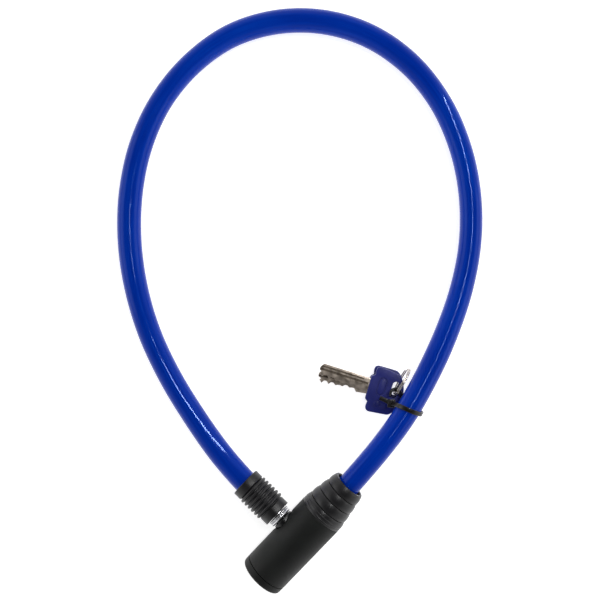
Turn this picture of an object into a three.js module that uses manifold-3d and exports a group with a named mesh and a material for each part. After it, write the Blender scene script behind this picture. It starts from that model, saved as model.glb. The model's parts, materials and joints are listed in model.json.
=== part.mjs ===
// Keyed bicycle cable lock, lying on a flat surface with its bolt pushed home.
// Millimetres, +Z up. The lock head's base is at the origin and the cable loop runs away along +Y.
import * as THREE from 'three';
import * as BufferGeometryUtils from 'three/addons/utils/BufferGeometryUtils.js';
import Module from 'manifold-3d';

const wasm = await Module();
wasm.setup();

// ---------------------------------------------------------------- driving dimensions
const gap = 0.3; // between any two separate pieces
const facets = 24; // round the main turned pieces

// Where the bolt's axis crosses the body's axis, and how the head lies.
const crossing = new THREE.Vector3(1.13, -1.68, 15.37);
const heading = THREE.MathUtils.degToRad(47.5); // the body's axis, seen from above
const lean = THREE.MathUtils.degToRad(8); // the cable end is raised, the cap's rim is on the surface
const roll = THREE.MathUtils.degToRad(7); // about the body's axis, so that the plug droops towards the surface

// Lock body, measured along its axis from the bolt's axis.
const bodyRadius = 11.7;
const coverWall = 1.5;
const capSeam = -25;
const capLength = 4;
const coverFront = 15.35;
const bootLength = 20.6;
const bootWall = 2; // at the rim round the cable
const cornerChamfer = 0.4;
const capRounding = 1.2;
const lipLength = 3; // of the cap, inside the cover
const lipWall = 0.85;
const coverPinStation = -14;
const coverPinRadius = 0.9;
const crimpPinRadius = 1;

// Cable.
const cableRadius = 6;
const sleeveWall = 1.8;
const ropeClearance = 0.5; // between the wire rope and the sleeve that is slipped over it

// Key cylinder and its wafers. The cylinder's own size follows from the key's blade.
const cylinderWall = 1.15; // above and below the keyway
const noseStep = 0.5;
const waferCount = 5;
const waferThickness = 0.8;
const waferWidth = 4;
const waferPitch = 2.7;
const springRadius = 0.4;
const springWireRadius = 0.13;

// Bolt, measured along its axis from the body's axis.
const boltRadius = 4;
const neckRadius = 2.4;
const boltTip = -6.4;
const boltShoulder = 5.5;
const plateThickness = 2; // the latch, which drops into the bolt's neck
const neckCentre = -2.7;
const ringStep = 0.65; // the two bright rings behind the socket stand out past the bolt's shoulder
const ringPairLength = 2.65;

// Turning pin at the back of the key cylinder, which lifts the latch.
const throwRadius = 2.5;
const throwPinRadius = 0.8;

// Ribbed sleeve on the plug end of the cable.
const sleeveLength = 22.6;
const nearCollarWall = 1.2;
const nearCollarLength = 4.7;
const farCollarWall = 1.6;
const ribWall = 2.05;
const ribDepth = 0.75;
const ribCount = 6;
const ribPitch = 2.2;

// Keys, split ring and tie.
const bladeLength = 26;
const bladeWidth = 8;
const bladeThickness = 1.8;
const bladeCuts = [1.7, 2.4, 1.9, 2.6, 2.9];
const bladeShoulder = 5.9; // left at full width beside the head
const grooveWidth = 1.1;
const grooveDepth = 0.5;
const headLength = 18;
const headThickness = 3.6;
const headBladeHalf = 11.7; // half its width beside the blade
const headRingHalf = 10.6;
const headOffset = 0.2; // its middle line, from the ring's wire
const headBevel = 0.5;
const bladeOffset = -0.4;
const tangLength = 7;
const ringEdge = 4.4; // head left beyond the ring's wire
const slotHalfWidth = 1.75;
const slotPlace = { x: 0.5, low: -6.6, high: 2 };
const headPitch = THREE.MathUtils.degToRad(3);
const ringWireRadius = 0.35;
const ringTurnPitch = 0.8;
const ringTurns = 1.9;
const ringMiddleRadius = 7.2;
const ringStandoff = 2.3; // from the cable's surface to the ring's middle plane
const ringLift = 0.65; // above the surface the lock lies on
const ringHeading = THREE.MathUtils.degToRad(60.5);
const tiePlace = { x: 59.423, y: 70.279, z: 17.5 }; // the cable's middle, where the strap goes round it
const strapRadius = 0.6;
const strapSlack = 0.6;
const keySpacing = 0.6; // between the two heads, one above the other

// ---------------------------------------------------------------- worked-out dimensions
const sleeveBore = cableRadius - sleeveWall;
const coreRadius = sleeveBore - ropeClearance;
const coreBore = coreRadius + gap;
const cableBore = cableRadius + gap;
const coverBore = bodyRadius - coverWall;
const housingRadius = coverBore - gap;
const housingNose = housingRadius - lipWall - gap; // inside the cap's lip
const lipEnd = capSeam + lipLength;
const capFace = capSeam - capLength;
const keywayHeight = bladeWidth + gap;
const keywayWidth = bladeThickness + gap;
const cylinderRadius = keywayHeight / 2 + cylinderWall;
const noseRadius = cylinderRadius - noseStep;
const cylinderBore = cylinderRadius + gap;
const boltBore = boltRadius + gap;
const ringRadius = boltShoulder + ringStep;
const socketRadius = ringRadius + gap;
const ringPairStart = bodyRadius + 0.9;
const ringPairEnd = ringPairStart + ringPairLength;
const sleeveStart = ringPairEnd + gap;
const latchFace = -(boltRadius + 0.6); // side of the latch's foot that faces the bolt
const footLength = 3.7;
const footBack = latchFace - footLength;
const cylinderEnd = footBack - gap;
const throwPinEnd = footBack + 1.8;
const cylinderFront = capFace + 0.4;
const latchTravel = 2 * throwRadius * Math.SQRT1_2;
const housingFront = coverFront - 3.7;
const crimpRadius = cableRadius + 0.2;
const crimpBack = boltRadius + 2.6;
const crimpFront = coverFront - 0.7;
const bootBack = housingFront + gap;
const bootStart = coverFront + gap;
const bootRim = bootStart + bootLength;
const tailRadius = cableRadius; // the bolt's tail fills the sleeve like the cable does
const tailStart = sleeveStart + 1 + gap;
const tailEnd = sleeveStart + 13.5;
const tailFloor = tailStart + 1.8;
const crimpPinStation = (crimpBack + housingFront) / 2;
const keyShank = headLength - ringEdge; // from the ring's wire to where a key's blade leaves the head

// ---------------------------------------------------------------- materials
function material(color, roughness, metalness) {
  return new THREE.MeshStandardMaterial({ color, roughness, metalness });
}

const blackPlastic = () => material(0x232626, 0.6, 0);
const blackRubber = () => material(0x2d2d30, 0.7, 0);
const bluePvc = () => material(0x06288c, 0.25, 0);
const navyPlastic = () => material(0x1c1c4a, 0.45, 0);
const zincCasting = () => material(0x9a9c9e, 0.5, 0.9);
const chromedSteel = () => material(0xd8d8da, 0.12, 1);
const steel = () => material(0xa8a9ab, 0.35, 1);
const brass = () => material(0xb08d4c, 0.35, 1);
const nickelSilver = () => material(0xa59c88, 0.4, 1);

// ---------------------------------------------------------------- helpers
const axisX = new THREE.Vector3(1, 0, 0);
const axisY = new THREE.Vector3(0, 1, 0);
const axisZ = new THREE.Vector3(0, 0, 1);

// A turned piece about Y from [radius, station] pairs.
function turned(profile, segments = facets) {
  const points = profile.map(([radius, station]) => new THREE.Vector2(radius, station));
  return new THREE.LatheGeometry(points, segments);
}

// A turned tube: the profile closes on itself.
function turnedTube(profile, segments = facets) {
  return turned([...profile, profile[0]], segments);
}

// Turns a piece made about Y so that it lies about X.
function layAlongX(geometry) {
  return geometry.rotateZ(-Math.PI / 2);
}

function cylinderAlong(axis, radius, from, to, segments = 24) {
  const geometry = new THREE.CylinderGeometry(radius, radius, to - from, segments);
  geometry.translate(0, (from + to) / 2, 0);
  if (axis === axisX) {
    geometry.rotateZ(-Math.PI / 2);
  }
  if (axis === axisZ) {
    geometry.rotateX(Math.PI / 2);
  }
  return geometry;
}

function box([x0, x1], [y0, y1], [z0, z1]) {
  const geometry = new THREE.BoxGeometry(x1 - x0, y1 - y0, z1 - z0);
  return geometry.translate((x0 + x1) / 2, (y0 + y1) / 2, (z0 + z1) / 2);
}

function toSolid(geometry) {
  const bare = geometry.clone();
  bare.deleteAttribute('normal');
  bare.deleteAttribute('uv');
  const merged = BufferGeometryUtils.mergeVertices(bare, 1e-4);
  return new wasm.Manifold(new wasm.Mesh({
    numProp: 3,
    vertProperties: new Float32Array(merged.attributes.position.array),
    triVerts: new Uint32Array(merged.index.array),
  }));
}

function toGeometry(solid) {
  const mesh = solid.getMesh();
  const geometry = new THREE.BufferGeometry();
  geometry.setAttribute('position', new THREE.BufferAttribute(mesh.vertProperties, 3));
  geometry.setIndex(new THREE.BufferAttribute(mesh.triVerts, 1));
  geometry.computeVertexNormals();
  return geometry;
}

function cut(geometry, ...tools) {
  return toGeometry(tools.reduce((solid, tool) => solid.subtract(toSolid(tool)), toSolid(geometry)));
}

function join(geometry, ...others) {
  return toGeometry(others.reduce((solid, other) => solid.add(toSolid(other)), toSolid(geometry)));
}

function part(name, geometry, finish) {
  const mesh = new THREE.Mesh(geometry, finish);
  mesh.name = name;
  return mesh;
}

// A round wire or tube along a curve.
function swept(points, radius, steps, sides, holeRadius = 0) {
  const section = new THREE.Shape();
  section.absarc(0, 0, radius, 0, 2 * Math.PI, false);
  if (holeRadius > 0) {
    const hole = new THREE.Path();
    hole.absarc(0, 0, holeRadius, 0, 2 * Math.PI, true);
    section.holes.push(hole);
  }
  const extrudePath = new THREE.CatmullRomCurve3(points, false, 'centripetal');
  const curveSegments = sides / 2; // each gives two points
  return new THREE.ExtrudeGeometry(section, { steps, extrudePath, curveSegments });
}

function coil(coilRadius, wireRadius, turns, height, stepsPerTurn, sides) {
  const count = turns * stepsPerTurn;
  const points = [];
  for (let i = 0; i <= count; i += 1) {
    const angle = (i / stepsPerTurn) * 2 * Math.PI;
    const rise = (i / count) * height;
    points.push(new THREE.Vector3(coilRadius * Math.cos(angle), coilRadius * Math.sin(angle), rise));
  }
  return swept(points, wireRadius, count, sides);
}

// Points of a quarter round from one end to the other, about a centre, as [radius, station] pairs.
function quarter(centreRadius, centreStation, size, fromAngle, toAngle, count = 4) {
  const points = [];
  for (let i = 0; i <= count; i += 1) {
    const angle = fromAngle + ((toAngle - fromAngle) * i) / count;
    points.push([centreRadius + size * Math.cos(angle), centreStation + size * Math.sin(angle)]);
  }
  return points;
}

// ---------------------------------------------------------------- lock body
function bodyCover() {
  const chamfer = cornerChamfer;
  const back = capSeam + gap / 2;
  const shell = layAlongX(turnedTube([
    [coverBore, back],
    [bodyRadius - chamfer, back],
    [bodyRadius, back + chamfer],
    [bodyRadius, coverFront - chamfer],
    [bodyRadius - chamfer, coverFront],
    [coverBore, coverFront],
  ]));
  const socket = cylinderAlong(axisY, socketRadius, 2, bodyRadius + 2, 24);
  const mouth = new THREE.CylinderGeometry(socketRadius + 2, socketRadius - 1, 3, 24);
  mouth.translate(0, bodyRadius, 0);
  const pinHole = cylinderAlong(axisY, coverPinRadius + gap, -bodyRadius - 2, -2, 12);
  pinHole.translate(coverPinStation, 0, 0);
  return part('body_cover', cut(shell, socket, mouth, pinHole), blackPlastic());
}

function endCap() {
  const rounding = capRounding;
  const inner = capSeam - gap / 2;
  const geometry = layAlongX(turnedTube([
    [noseRadius + gap, capFace],
    ...quarter(bodyRadius - rounding, capFace + rounding, rounding, -Math.PI / 2, 0),
    [bodyRadius, inner],
    [housingRadius, inner],
    [housingRadius, lipEnd],
    [housingNose + gap, lipEnd],
    [housingNose + gap, inner],
    [noseRadius + gap, inner],
  ]));
  return part('end_cap', geometry, blackPlastic());
}

function cableBoot() {
  const tiers = 4;
  const pitch = bootLength / tiers;
  const rimRadius = cableBore + bootWall;
  const step = (bodyRadius - rimRadius) / tiers;
  const profile = [
    [crimpRadius + gap, bootBack],
    [housingRadius, bootBack],
    [housingRadius, bootStart],
  ];
  for (let i = 0; i < tiers; i += 1) {
    const start = bootStart + i * pitch;
    const radius = bodyRadius - i * step;
    profile.push([radius - 0.15, start]);
    profile.push([radius, start + 0.25 * pitch]);
    profile.push([radius - 0.35, start + 0.7 * pitch]);
    profile.push([radius - step, start + 0.97 * pitch]);
  }
  profile.push([rimRadius - 0.5, bootRim]);
  profile.push([cableBore + 0.4, bootRim]);
  profile.push([cableBore, bootRim - 1.5]);
  profile.push([cableBore, crimpFront + 1]);
  profile.push([crimpRadius + gap, crimpFront + 1]);
  return part('cable_boot', layAlongX(turnedTube(profile)), blackRubber());
}

const footY = [neckCentre - 1.4, neckCentre + 1.8];
const latchRise = latchTravel + 0.4;
const forkHalfWidth = boltRadius + 0.6;
const webBottom = -8;
const waferReach = 2; // room for a wafer to slide out into the housing

function innerHousing() {
  const blank = layAlongX(turned([
    [0, capSeam + gap],
    [housingNose, capSeam + gap],
    [housingNose, lipEnd + gap],
    [housingRadius, lipEnd + gap],
    [housingRadius, housingFront],
    [0, housingFront],
  ]));
  const halfChannel = waferWidth / 2 + 0.4;
  const reach = housingRadius + 1;
  const plateY = [neckCentre - plateThickness / 2 - gap, neckCentre + plateThickness / 2 + gap];
  const channelReach = cylinderRadius + waferReach + gap;
  const tools = [
    cylinderAlong(axisX, cylinderBore, capSeam - 1, cylinderEnd + gap, 24),
    box([capSeam - 1, cylinderEnd - 2], [-halfChannel, halfChannel], [-channelReach, channelReach]),
    box([footBack - 0.4, latchFace + 0.4], [footY[0] - 0.4, footY[1] + 0.4], [-reach, 1 + latchRise]),
    box([-forkHalfWidth - 0.4, forkHalfWidth + 0.4], plateY, [-reach, 0.6]),
    cylinderAlong(axisY, boltBore, boltTip - 1, reach, 24),
    cylinderAlong(axisY, boltShoulder + 0.4, cableRadius + 1, reach, 24),
    cylinderAlong(axisX, crimpRadius + gap, crimpBack - gap, housingFront + 1, 24),
  ];
  const crimpPinHole = cylinderAlong(axisZ, crimpPinRadius + gap, -reach, reach, 12);
  tools.push(crimpPinHole.translate(crimpPinStation, 0, 0));
  const coverPinHole = cylinderAlong(axisY, coverPinRadius + gap, -reach, -cylinderBore - 0.9, 12);
  tools.push(coverPinHole.translate(coverPinStation, 0, 0));
  return part('inner_housing', cut(blank, ...tools), zincCasting());
}

function coverPin() {
  const geometry = cylinderAlong(axisY, coverPinRadius, 0.3 - bodyRadius, -cylinderBore - 1.2, 12);
  return part('cover_pin', geometry.translate(coverPinStation, 0, 0), steel());
}

function cableCrimp() {
  const floor = crimpBack + 1.1;
  const sleeve = layAlongX(turned([
    [0, crimpBack],
    [crimpRadius, crimpBack],
    [crimpRadius, crimpFront],
    [coreBore, crimpFront],
    [coreBore, floor],
    [0, floor],
  ], 24));
  const pinSeats = [-1, 1].map((side) => {
    const seat = cylinderAlong(axisZ, crimpPinRadius + gap, coreBore + 0.3, crimpRadius + 1, 12);
    return seat.rotateX(side > 0 ? 0 : Math.PI).translate(crimpPinStation, 0, 0);
  });
  return part('cable_crimp', cut(sleeve, ...pinSeats), steel());
}

function crimpPin(name, side) {
  const geometry = cylinderAlong(axisZ, crimpPinRadius, coreBore + 0.6, housingRadius - 0.3, 12);
  geometry.rotateX(side > 0 ? 0 : Math.PI).translate(crimpPinStation, 0, 0);
  return part(name, geometry, steel());
}

// ---------------------------------------------------------------- key cylinder
const waferSlot = waferThickness + 2 * gap;
const firstWafer = capSeam + 1.9;
const springSide = waferWidth / 2 + 1; // across the cylinder, beside each wafer
const springPocket = { low: -3, high: 2.3, width: 0.9 };
const hookHeights = [0.8, 1.7]; // of the wafer's hook, which sits on its spring
const waferStations = Array.from({ length: waferCount }, (_, i) => firstWafer + i * waferPitch);

function keyCylinder() {
  const blank = layAlongX(turned([
    [0, cylinderFront],
    [noseRadius - 0.3, cylinderFront],
    [noseRadius, cylinderFront + 0.3],
    [noseRadius, capSeam + gap],
    [cylinderRadius, capSeam + gap],
    [cylinderRadius, cylinderEnd],
    [0, cylinderEnd],
  ]));
  const throwPin = cylinderAlong(axisX, throwPinRadius, cylinderEnd - 1, throwPinEnd, 12);
  const offset = throwRadius * Math.SQRT1_2;
  throwPin.translate(0, -offset, -offset);
  const keyway = [capFace - 1, cylinderEnd - 1];
  const half = keywayHeight / 2;
  const side = keywayWidth / 2;
  const tools = [
    box(keyway, [-side, side / 3], [-0.4, half]),
    box(keyway, [-side / 3, side], [-half, 0.4]),
  ];
  const slotHalf = waferWidth / 2 + gap;
  const reach = cylinderRadius + 1;
  const pocket = [waferWidth / 2, springSide + springPocket.width];
  for (const station of waferStations) {
    const along = [station - waferSlot / 2, station + waferSlot / 2];
    tools.push(box(along, [-slotHalf, slotHalf], [-reach, reach]));
    tools.push(box(along, pocket, [springPocket.low, springPocket.high]));
  }
  return part('key_cylinder', cut(join(blank, throwPin), ...tools), brass());
}

function wafer(index) {
  const reach = cylinderRadius - 0.05;
  const half = waferWidth / 2;
  const corner = Math.acos(half / reach);
  const shape = new THREE.Shape();
  shape.absarc(0, 0, reach, corner, Math.PI - corner, false);
  shape.absarc(0, 0, reach, Math.PI + corner, 2 * Math.PI - corner, false);
  shape.lineTo(half, hookHeights[0]);
  shape.lineTo(springSide + 0.5, hookHeights[0]);
  shape.lineTo(springSide + 0.5, hookHeights[1]);
  shape.lineTo(half, hookHeights[1]);
  shape.closePath();
  const lift = 0.25 * ((index * 2) % waferCount) - 0.5; // each wafer's window is cut to its own height
  const windowHalf = keywayHeight / 2 - 0.9;
  const windowSide = keywayWidth / 2 + 0.25;
  const hole = new THREE.Path();
  hole.moveTo(-windowSide, lift - windowHalf);
  hole.lineTo(-windowSide, lift + windowHalf);
  hole.lineTo(windowSide, lift + windowHalf);
  hole.lineTo(windowSide, lift - windowHalf);
  hole.closePath();
  shape.holes.push(hole);
  const geometry = new THREE.ExtrudeGeometry(shape, {
    depth: waferThickness,
    bevelEnabled: false,
    curveSegments: 4,
  });
  geometry.translate(0, 0, -waferThickness / 2);
  geometry.applyMatrix4(new THREE.Matrix4().makeBasis(axisY, axisZ, axisX));
  geometry.translate(waferStations[index], 0, 0);
  return part(`wafer_${index + 1}`, geometry, brass());
}

function waferSpring(index) {
  const clear = 0.25; // at each end
  const height = hookHeights[0] - springPocket.low - 2 * clear;
  const geometry = coil(springRadius, springWireRadius, 4, height, 7, 4);
  geometry.translate(waferStations[index], springSide - 0.1, springPocket.low + clear);
  return part(`wafer_spring_${index + 1}`, geometry, steel());
}

// Fork plate that rises into the bolt's neck. At rest it is drawn clear of the bolt.
function latch() {
  const pinHeight = -throwRadius * Math.SQRT1_2;
  const plateY = [neckCentre - plateThickness / 2, neckCentre + plateThickness / 2];
  const slotHalf = neckRadius + gap;
  const tip = -Math.sqrt(boltRadius ** 2 - slotHalf ** 2) - 0.35;
  const slotFloor = -latchTravel - neckRadius - 0.35;
  const plate = box([-forkHalfWidth, forkHalfWidth], plateY, [webBottom, tip]);
  const slot = box([-slotHalf, slotHalf], [-9, 9], [slotFloor, 9]);
  const foot = box([footBack, latchFace], footY, [pinHeight - 2.8, 1]);
  const bridge = box([footBack + 2, -slotHalf - 0.3], plateY, [webBottom, tip]);
  const pinSlot = box(
    [footBack - 1, throwPinEnd + gap],
    [-9, 9],
    [pinHeight - throwPinRadius - gap, pinHeight + throwPinRadius + gap],
  );
  return part('latch', cut(join(plate, foot, bridge), slot, pinSlot), steel());
}

// ---------------------------------------------------------------- plug end
function lockBolt() {
  const neck = [neckCentre - plateThickness / 2 - gap, neckCentre + plateThickness / 2 + gap];
  const geometry = turned([
    [0, boltTip],
    [boltRadius - 1.4, boltTip],
    [boltRadius, boltTip + 1.4],
    [boltRadius, neck[0]],
    [neckRadius, neck[0]],
    [neckRadius, neck[1]],
    [boltRadius, neck[1]],
    [boltRadius, cableRadius + 1.2],
    [boltShoulder, cableRadius + 2.7],
    [boltShoulder, ringPairStart - 0.8],
    [boltRadius + 0.3, ringPairStart - 0.3],
    [boltRadius + 0.3, tailStart],
    [tailRadius, tailStart],
    [tailRadius, tailEnd],
    [coreBore, tailEnd],
    [coreBore, tailFloor],
    [0, tailFloor],
  ]);
  return part('lock_bolt', geometry, chromedSteel());
}

function boltCollar() {
  const ring = ringPairLength / 4;
  const bore = boltRadius + 2 * gap;
  const profile = [[bore, ringPairStart]];
  for (let i = 0; i < 2; i += 1) {
    const centre = ringPairStart + ring + 2 * ring * i;
    profile.push(...quarter(ringRadius - ring, centre, 0.97 * ring, -Math.PI / 2, Math.PI / 2, 5));
  }
  profile.push([bore, ringPairEnd]);
  return part('bolt_collar', turnedTube(profile), chromedSteel());
}

function plugSleeve() {
  const end = sleeveStart + sleeveLength;
  const ribsStart = sleeveStart + nearCollarLength;
  const ribsEnd = ribsStart + ribCount * ribPitch;
  const nearRadius = cableBore + nearCollarWall;
  const farRadius = cableBore + farCollarWall;
  const ribRadius = cableBore + ribWall;
  const valley = ribRadius - ribDepth;
  const mouth = boltRadius + 0.7;
  const wall = 1; // across the bolt's end of the sleeve
  const profile = [
    [mouth, sleeveStart],
    [nearRadius - 0.55, sleeveStart],
    [nearRadius, sleeveStart + 0.6],
    [nearRadius, ribsStart - 0.5],
  ];
  for (let i = 0; i < ribCount; i += 1) {
    const start = ribsStart + i * ribPitch;
    profile.push([valley, start]);
    profile.push([ribRadius - 0.15, start + 0.2 * ribPitch]);
    profile.push([ribRadius, start + 0.5 * ribPitch]);
    profile.push([ribRadius - 0.15, start + 0.8 * ribPitch]);
  }
  profile.push([valley, ribsEnd]);
  profile.push([farRadius, ribsEnd + 0.4]);
  profile.push([farRadius, end - 0.6]);
  profile.push([farRadius - 0.55, end]);
  profile.push([cableBore, end]);
  profile.push([cableBore, sleeveStart + wall]);
  profile.push([mouth, sleeveStart + wall]);
  return part('plug_sleeve', turnedTube(profile), blackRubber());
}

// ---------------------------------------------------------------- assembly of the head
const lockHead = new THREE.Group();
lockHead.position.copy(crossing);
lockHead.rotation.set(-roll, -lean, heading, 'ZYX');
lockHead.add(bodyCover(), endCap(), cableBoot(), innerHousing(), coverPin(), cableCrimp());
lockHead.add(crimpPin('crimp_pin_upper', 1), crimpPin('crimp_pin_lower', -1));
lockHead.add(keyCylinder(), latch());
for (let i = 0; i < waferCount; i += 1) {
  lockHead.add(wafer(i), waferSpring(i));
}
lockHead.add(lockBolt(), boltCollar(), plugSleeve());
lockHead.updateMatrixWorld(true);

const headPoint = (x, y, z) => lockHead.localToWorld(new THREE.Vector3(x, y, z));

// ---------------------------------------------------------------- cable
// From the boot, up the right-hand side, round the far end and back down to the plug.
const looseRoute = [
  [40.3, 42.4, 21.3],
  [52.6, 58.5, 18.6],
  [64.2, 78.0, 14.8],
  [74.4, 99.1, 11.1],
  [82.5, 121.9, 8.3],
  [87.0, 145.8, 6.6],
  [86.7, 170.0, 6.1],
  [81.6, 193.6, 6.05],
  [71.6, 215.7, 6.05],
  [56.5, 234.5, 6.05],
  [36.6, 248.4, 6.05],
  [13.6, 255.6, 6.05],
  [-10.6, 255.7, 6.05],
  [-33.7, 248.7, 6.05],
  [-53.4, 234.7, 6.05],
  [-68.8, 216.0, 6.05],
  [-79.0, 194.1, 6.05],
  [-84.2, 170.5, 6.05],
  [-85.0, 146.3, 6.05],
  [-81.8, 122.3, 6.05],
  [-75.0, 99.1, 6.1],
  [-64.7, 77.1, 6.5],
  [-52.0, 56.5, 7.4],
  [-38.9, 38.4, 9.0],
].map((point) => new THREE.Vector3(...point));

const sleeveEnds = { boot: crimpFront + 0.4, plug: tailEnd + gap };
const coreEnds = { boot: crimpBack + 1.4, plug: tailFloor + gap };

function cableRoute(ends) {
  const plugExit = sleeveStart + sleeveLength;
  return [
    headPoint(ends.boot, 0, 0),
    headPoint(bootRim - 8, 0, 0),
    headPoint(bootRim, 0, 0),
    ...looseRoute,
    headPoint(0, plugExit, 0),
    headPoint(0, plugExit - 6, 0),
    headPoint(0, ends.plug, 0),
  ];
}

const cableSteps = 50;
const sleeveTube = swept(cableRoute(sleeveEnds), cableRadius, cableSteps, 12, sleeveBore);
const coreRod = swept(cableRoute(coreEnds), coreRadius, cableSteps, 8);
const cable = new THREE.Group();
cable.add(part('cable_sleeve', sleeveTube, bluePvc()), part('cable_core', coreRod, steel()));

// ---------------------------------------------------------------- ring, tie and keys
// X runs along the cable, Y away from it, towards the inside of the loop.
const ringAway = new THREE.Vector3(-Math.sin(ringHeading), Math.cos(ringHeading), 0);
const ringFromCable = cableRadius + ringStandoff;
const ringCentre = new THREE.Vector3(tiePlace.x, tiePlace.y, 0).addScaledVector(ringAway, ringFromCable);
ringCentre.z = ringMiddleRadius + ringWireRadius + ringLift;

const keyRing = new THREE.Group();
keyRing.position.copy(ringCentre);
keyRing.rotation.z = ringHeading;

function splitRing() {
  const stepsPerTurn = 24;
  const count = Math.round(ringTurns * stepsPerTurn);
  const points = [];
  for (let i = 0; i <= count; i += 1) {
    const angle = (i / stepsPerTurn) * 2 * Math.PI;
    const across = (i / count - 0.5) * ringTurns * ringTurnPitch;
    const x = ringMiddleRadius * Math.cos(angle);
    points.push(new THREE.Vector3(x, across, ringMiddleRadius * Math.sin(angle)));
  }
  return part('split_ring', swept(points, ringWireRadius, count, 6), chromedSteel());
}

// The strap goes round the cable and through the ring; the stub is its cut-off tail.
function cableTie() {
  const middle = { y: -ringFromCable, z: tiePlace.z - ringCentre.z };
  const reach = cableRadius + strapRadius + strapSlack;
  const blockCentre = new THREE.Vector3(-11.9, -0.2, 5.7);
  const strap = [blockCentre.clone()];
  const turns = 9;
  for (let i = 0; i < turns; i += 1) {
    const along = i / (turns - 1);
    const angle = THREE.MathUtils.degToRad(8 + 292 * along);
    const y = middle.y + reach * Math.cos(angle);
    const z = middle.z + reach * Math.sin(angle);
    strap.push(new THREE.Vector3(-11.2 + 4.2 * along, y, z));
  }
  strap.push(new THREE.Vector3(-4.6, 0.2, 3.7));
  strap.push(new THREE.Vector3(-6.2, 2.6, 4.4));
  strap.push(new THREE.Vector3(-9.2, 2.0, 5.2));
  const tail = [
    blockCentre.clone(),
    new THREE.Vector3(-12.0, 3.0, 5.5),
    new THREE.Vector3(-12.3, 6.3, 5.1),
  ];
  const block = box([-2, 2], [-1.9, 1.9], [-1.6, 1.6]).translate(blockCentre.x, blockCentre.y, blockCentre.z);
  const geometry = join(block, swept(strap, strapRadius, 30, 6), swept(tail, strapRadius, 4, 6));
  return part('cable_tie', geometry, blackPlastic());
}

// A key's own frame: origin where the ring's wire passes through it, X towards the tip, Z up.
function keyHead(name) {
  const ringEnd = -ringEdge;
  const lobe = keyShank - 1.5; // the edge steps back at both ends of the middle part
  const shape = new THREE.Shape();
  shape.moveTo(keyShank, 0);
  const half = (side) => [
    [keyShank, side * 6],
    [keyShank - 1.9, side * 6.9],
    [lobe, side * 7.9],
    [lobe, side * (headBladeHalf - 1.9)],
    [lobe - 0.6, side * (headBladeHalf - 0.5)],
    [lobe - 2, side * headBladeHalf],
    [1.2, side * headRingHalf],
    [-0.7, side * (headRingHalf - 1)],
    [-2.4, side * 7.2],
    [ringEnd + 0.45, side * 3.6],
  ];
  const outline = [...half(1), [ringEnd, 0], ...half(-1).reverse()];
  outline.forEach(([x, y]) => shape.lineTo(x, y + headOffset));
  shape.closePath();
  const slot = new THREE.Path();
  slot.absarc(slotPlace.x, slotPlace.high - slotHalfWidth, slotHalfWidth, 0, Math.PI, false);
  slot.absarc(slotPlace.x, slotPlace.low + slotHalfWidth, slotHalfWidth, Math.PI, 2 * Math.PI, false);
  slot.closePath();
  shape.holes.push(slot);
  const geometry = new THREE.ExtrudeGeometry(shape, {
    depth: headThickness - 2 * headBevel,
    bevelThickness: headBevel,
    bevelSize: headBevel,
    bevelOffset: -headBevel,
    bevelSegments: 1,
    curveSegments: 4,
  });
  geometry.translate(0, 0, headBevel - headThickness / 2);
  const tangRoom = box(
    [keyShank - tangLength - gap, keyShank + 1],
    [bladeOffset - bladeWidth / 2 - gap, bladeOffset + bladeWidth / 2 + gap],
    [-bladeThickness / 2 - gap, bladeThickness / 2 + gap],
  );
  return part(name, cut(geometry, tangRoom), navyPlastic());
}

function keyBlade(name) {
  const half = bladeWidth / 2;
  const tip = keyShank + bladeLength;
  const cutsFrom = keyShank + bladeShoulder;
  const cutPitch = (bladeLength - bladeShoulder - 2.2) / bladeCuts.length;
  const shape = new THREE.Shape();
  shape.moveTo(keyShank - tangLength, -half);
  shape.lineTo(tip - 1.5, -half);
  shape.lineTo(tip, -0.3);
  bladeCuts.map((depth, i) => [depth, cutsFrom + i * cutPitch]).reverse().forEach(([depth, start]) => {
    shape.lineTo(start + cutPitch, half - 1.5);
    shape.lineTo(start + 0.7 * cutPitch, half - depth);
    shape.lineTo(start + 0.35 * cutPitch, half - depth);
  });
  shape.lineTo(cutsFrom, half);
  shape.lineTo(keyShank - tangLength, half);
  shape.closePath();
  const geometry = new THREE.ExtrudeGeometry(shape, { depth: bladeThickness, bevelEnabled: false });
  geometry.translate(0, 0, -bladeThickness / 2);
  const grooveFloor = bladeThickness / 2 - grooveDepth;
  const groove = (side) => box(
    [keyShank + 0.5, tip + 1],
    [-side * 1.1 - grooveWidth / 2, -side * 1.1 + grooveWidth / 2],
    side > 0 ? [grooveFloor, 3] : [-3, -grooveFloor],
  );
  return part(name, cut(geometry, groove(1), groove(-1)).translate(0, bladeOffset, 0), nickelSilver());
}

// Threads a key on the ring's wire, at its own height. The offset is the key's place along the ring.
function key(number, height, offset, direction) {
  const group = new THREE.Group();
  const along = offset - Math.sqrt(ringMiddleRadius ** 2 - height ** 2);
  const place = new THREE.Vector3(along, 0, height).applyAxisAngle(axisZ, ringHeading);
  group.position.copy(ringCentre).add(place);
  group.rotation.set(0, headPitch, THREE.MathUtils.degToRad(direction), 'ZYX');
  group.add(keyHead(`key_head_${number}`), keyBlade(`key_blade_${number}`));
  return group;
}

keyRing.add(splitRing(), cableTie());

const cableLock = new THREE.Group();
cableLock.add(lockHead, cable, keyRing);
cableLock.add(key(1, 0, -0.4, 162.7), key(2, -headThickness - keySpacing, -0.15, 170.5));

export default cableLock;
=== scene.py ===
import json
import math

import bmesh
import bpy
import numpy as np
from mathutils import Matrix, Vector


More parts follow.
